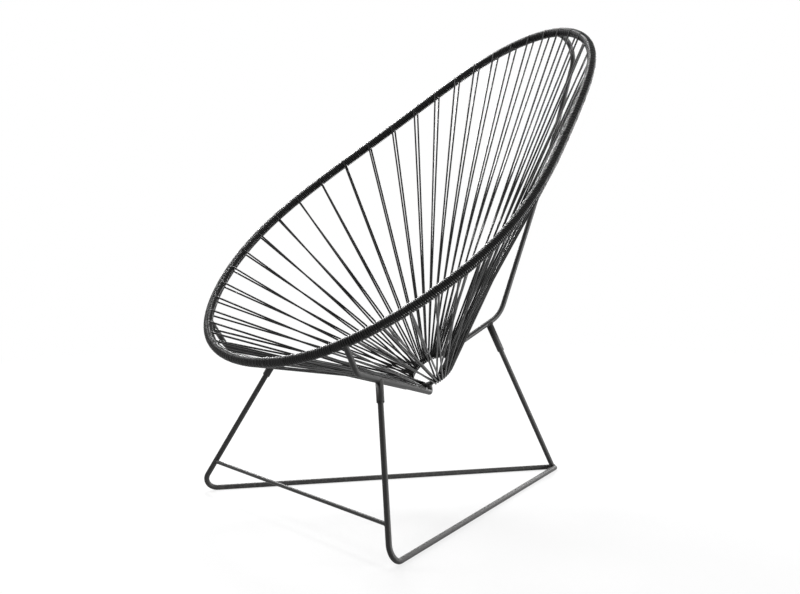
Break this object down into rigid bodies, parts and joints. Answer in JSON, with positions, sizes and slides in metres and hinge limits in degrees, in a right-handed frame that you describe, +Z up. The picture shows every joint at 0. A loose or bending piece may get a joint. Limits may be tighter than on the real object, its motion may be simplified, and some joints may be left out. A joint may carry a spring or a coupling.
{
  "type": "acapulco chair",
  "caption": "Egg-shaped lounge chair: a leaning steel hoop strung with plastic cord down to a small ring, on a low base of bent rods.",
  "frame": {"origin": "on the floor, under the middle of the chair's outline", "axes": "+Z up, -Y the way the sitter looks, +X to the sitter's left"},
  "size_m": [0.6994, 0.7956, 0.8981],
  "materials": {
    "paint": "satin",
    "cord": "gloss"
  },
  "bodies": {
    "root": {"centre_ring": "paint", "rim_hoop": "paint", "back_arm": "paint", "front_arm_left": "paint", "front_arm_right": "paint", "leg_sleeve_left": "paint", "leg_sleeve_right": "paint", "leg_sleeve_rear": "paint", "base_rod_left": "paint", "base_rod_right": "paint", "rear_leg": "paint", "base_crossbar": "paint", "cord_length_01": "cord", "cord_length_02": "cord", "cord_length_03": "cord", "cord_length_04": "cord", "cord_length_05": "cord", "cord_length_06": "cord", "cord_length_07": "cord", "cord_length_08": "cord", "cord_length_09": "cord", "cord_length_10": "cord"}
  },
  "joints": []
}
